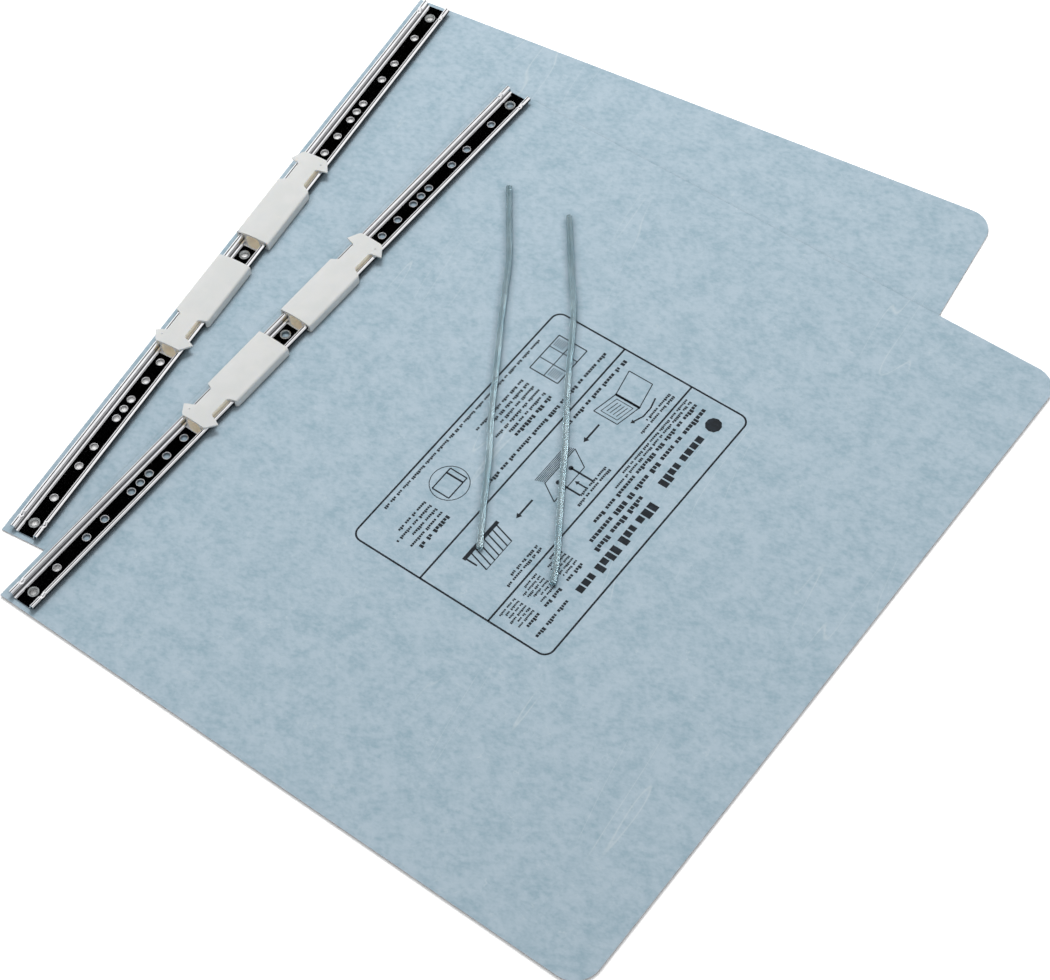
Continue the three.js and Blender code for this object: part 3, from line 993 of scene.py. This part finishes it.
def make_print(material):
    draw = random.Random(PRINT_SEED)
    ink = Print()
    print_frame(ink)
    print_titles(ink, draw)
    print_steps(ink, draw)
    print_extras(ink, draw)
    piece = bmesh_piece("front_cover_print", ink.bm, material)
    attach(piece, "root")


# Studio: a pale floor, a world with dark patches that only metal and clear nylon mirror, and one lamp

FLOOR_HALF = 6.0
FLOOR_DROP = 0.0002
FLOOR_GLOW = 0.52
WHITE = (1, 1, 1, 1)
BLACK = (0.0, 0.0, 0.0, 1)
SCREEN_GREY = (0.28, 0.29, 0.3, 1)
SCREEN_EDGES = (8, 34)
CEILING_EDGES = (18, 23)
MIRRORED_CEILING = Vector((-0.43, 0.45, 0.78)).normalized()
MIRRORED_SCREENS = [Vector((0.8, -0.1, 0.57)).normalized(), Vector((-0.2, -0.8, 0.55)).normalized()]
AMBIENT_LIGHT = 0.5
LAMP_PLACE = Vector((-0.42, 0.63, 1.45))
LAMP_SIZE = 0.6
LAMP_POWER = 17


def seen_rays(shader):
    """The rays that mirrors and clear pieces show, and those together with the camera's own."""
    rays = shader.add("ShaderNodeLightPath").outputs
    mirrored = shader.math("MAXIMUM", rays["Is Glossy Ray"], rays["Is Transmission Ray"])
    return mirrored, shader.math("MAXIMUM", rays["Is Camera Ray"], mirrored)


def make_floor():
    bm = bmesh.new()
    place = Matrix.Translation((0, 0, -FLOOR_DROP))
    bmesh.ops.create_grid(bm, x_segments=1, y_segments=1, size=FLOOR_HALF, matrix=place)
    material, shader, principled, _ = new_material("studio_floor")
    # Painted shade: ambient occlusion darkens the floor and dims its glow in the holes and along the
    # covers' edges, as a painted contact shadow.
    clear = shader.remap(shader.open_air(), 0.66, 0.98)
    shader.feed(principled.inputs["Base Color"], shader.mix(clear, FLOOR_PAINTED_SHADE, FLOOR_WHITE))
    principled.inputs["Roughness"].default_value = 0.9
    principled.inputs["Specular IOR Level"].default_value = 0.0
    _, seen = seen_rays(shader)
    glow = shader.math("MULTIPLY", shader.math("MULTIPLY", seen, clear), FLOOR_GLOW)
    principled.inputs["Emission Color"].default_value = WHITE
    shader.feed(principled.inputs["Emission Strength"], glow)
    floor = bmesh_piece("studio_floor", bm, material)


def make_world():
    """Soft ambient light. Metal also mirrors a dark opening in the ceiling and grey screens."""
    world = bpy.data.worlds.new("studio")
    world.use_nodes = True
    bpy.context.scene.world = world
    shader = Shader(world.node_tree)
    background = world.node_tree.nodes["Background"]
    direction = shader.add("ShaderNodeTexCoord").outputs["Generated"]

    def patch(centre, edges):
        """A round patch of the sky, full within the first angle in degrees and gone at the second."""
        inner, outer = [math.cos(math.radians(angle)) for angle in edges]
        toward = shader.add("ShaderNodeVectorMath", {0: direction, 1: centre}, operation="DOT_PRODUCT")
        return shader.remap(toward.outputs["Value"], outer, inner)

    colour = WHITE
    for centre in MIRRORED_SCREENS:
        colour = shader.mix(patch(centre, SCREEN_EDGES), colour, SCREEN_GREY)
    colour = shader.mix(patch(MIRRORED_CEILING, CEILING_EDGES), colour, BLACK)
    mirrored, seen = seen_rays(shader)
    shader.feed(background.inputs["Color"], shader.mix(mirrored, WHITE, colour))
    shader.feed(background.inputs["Strength"], shader.remap(seen, 0.0, 1.0, AMBIENT_LIGHT, 1.0, False))


def make_lamp():
    """A soft lamp that faces the part and that metal doesn't mirror."""
    data = bpy.data.lights.new("key", "AREA")
    data.shape = "SQUARE"
    data.size = LAMP_SIZE
    data.energy = LAMP_POWER
    lamp = bpy.data.objects.new("key", data)
    bpy.context.scene.collection.objects.link(lamp)
    lamp.location = LAMP_PLACE
    lamp.rotation_euler = (-LAMP_PLACE).to_track_quat("-Z", "Y").to_euler()
    lamp.visible_glossy = False


def make_studio():
    make_floor()
    make_world()
    make_lamp()
    bpy.context.scene.view_settings.view_transform = "Standard"


def main():
    make_camera()
    board = pressboard_material()
    steel = steel_material("rail_steel", STEEL_BRIGHT, RAIL_ROUGHNESS)
    eyelet_steel = steel_material("eyelet_steel", STEEL_SATIN, EYELET_ROUGHNESS)
    nylon = nylon_material()
    rings = ring_tree()
    for side in ("back", "front"):
        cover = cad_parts[f"{side}_cover"]
        cover.data.materials.clear()
        cover.data.materials.append(board)
        make_rail(side, steel)
        make_rings(side, rings, steel, eyelet_steel)
        for place in ("far", "near"):
            make_hook(f"{side}_hook_{place}", nylon)
    clear_nylon = post_material()
    make_post("first_post_rod", "first_post", FIRST_POST, clear_nylon)
    make_post("second_post_rod", "second_post", SECOND_POST, clear_nylon)
    make_print(ink_material())
    make_studio()


main()
